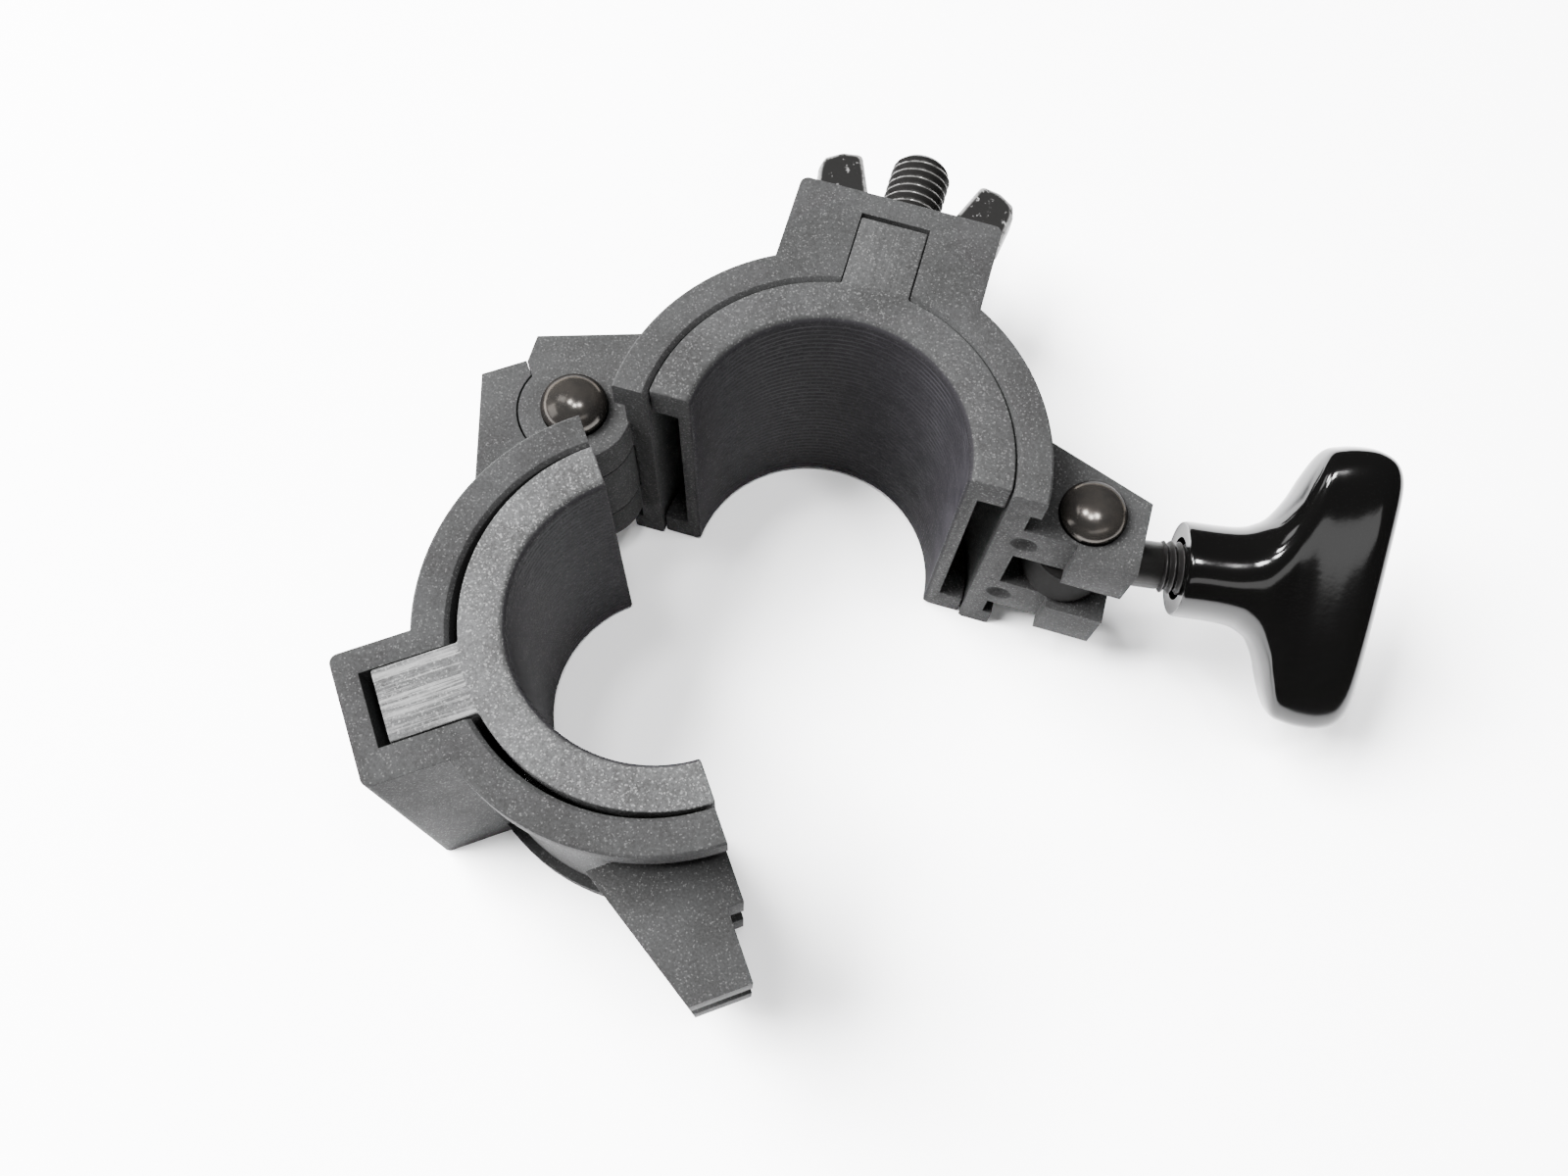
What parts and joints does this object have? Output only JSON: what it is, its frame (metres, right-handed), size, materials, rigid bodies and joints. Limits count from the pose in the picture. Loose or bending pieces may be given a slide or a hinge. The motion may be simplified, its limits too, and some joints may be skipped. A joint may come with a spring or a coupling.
{
  "type": "pipe clamp",
  "caption": "Hinged stage pipe clamp with a swing bolt and wing knob, key-fixed reducing liners, and a mounting bolt with washer and wing nut",
  "frame": {"origin": "On the pipe axis of the fixed half, half way along the clamp's depth", "axes": "+Z runs along the pipe, out of the rims that face up when the clamp lies on its side; +X runs along the closed parting line from the hinge to the latch; +Y points to the boss that carries the mounting bolt"},
  "size_m": [0.1364, 0.1378, 0.05],
  "materials": {
    "shell": "charcoal glass-filled plastic, matte with a fine sparkle",
    "liner": "charcoal glass-filled plastic, matte, slightly coarser sparkle",
    "pin_steel": "dark oxide steel",
    "cap_steel": "glossy black oxide",
    "bolt_steel": "black zinc, crests worn bright",
    "nut_steel": "black zinc, edges worn bright",
    "insert_steel": "plain steel",
    "knob": "gloss black moulded plastic"
  },
  "bodies": {
    "upper_half": {"upper_shell": "shell", "hinge_pin": "pin_steel", "hinge_cap_near": "cap_steel", "hinge_cap_far": "cap_steel", "latch_pin": "pin_steel", "latch_cap_near": "cap_steel", "latch_cap_far": "cap_steel", "mounting_bolt": "bolt_steel"},
    "lower_jaw": {"lower_shell": "shell"},
    "upper_sleeve": {"upper_liner": "liner"},
    "lower_sleeve": {"lower_liner": "liner"},
    "bolt_arm": {"swing_bolt": "bolt_steel"},
    "knob_carrier": {"knob_insert": "insert_steel"},
    "knob_grip": {"knob": "knob"},
    "washer_ring": {"mounting_washer": "bolt_steel"},
    "nut": {"wing_nut": "nut_steel"}
  },
  "joints": [
    {"name": "jaw_hinge", "type": "hinge", "parent": "upper_half", "child": "lower_jaw", "pos_m": [-0.0365, 0, 0], "axis": [0, 0, 1], "range_deg": [0, 54]},
    {"name": "upper_liner_slide", "type": "slide", "parent": "upper_half", "child": "upper_sleeve", "axis": [0, 0, 1], "range_m": [0, 0.05]},
    {"name": "lower_liner_slide", "type": "slide", "parent": "lower_jaw", "child": "lower_sleeve", "axis": [0, 0, 1], "range_m": [0, 0.05]},
    {"name": "bolt_swing", "type": "hinge", "parent": "upper_half", "child": "bolt_arm", "pos_m": [0.0375, 0.0053, 0], "axis": [0, 0, -1], "range_deg": [-25, 79.2]},
    {"name": "knob_travel", "type": "slide", "parent": "bolt_arm", "child": "knob_carrier", "axis": [0.9898, 0.1426, 0], "range_m": [-0.004, 0.006]},
    {"name": "knob_turn", "type": "hinge", "parent": "knob_carrier", "child": "knob_grip", "pos_m": [0.05363, 0.00762, 0], "axis": [0.9898, 0.1426, 0], "range_deg": [-1153, 1729]},
    {"name": "washer_travel", "type": "slide", "parent": "upper_half", "child": "washer_ring", "axis": [0, 1, 0], "range_m": [0, 0.01]},
    {"name": "wing_nut_turn", "type": "hinge", "parent": "washer_ring", "child": "nut", "pos_m": [0, 0.042, 0], "axis": [0, 1, 0], "range_deg": [0, 2401]}
  ],
  "couplings": [
    {"joint": "knob_turn", "follows": "knob_travel", "rad_per_m": 5026.5},
    {"joint": "wing_nut_turn", "follows": "washer_travel", "rad_per_m": 4188.8}
  ]
}
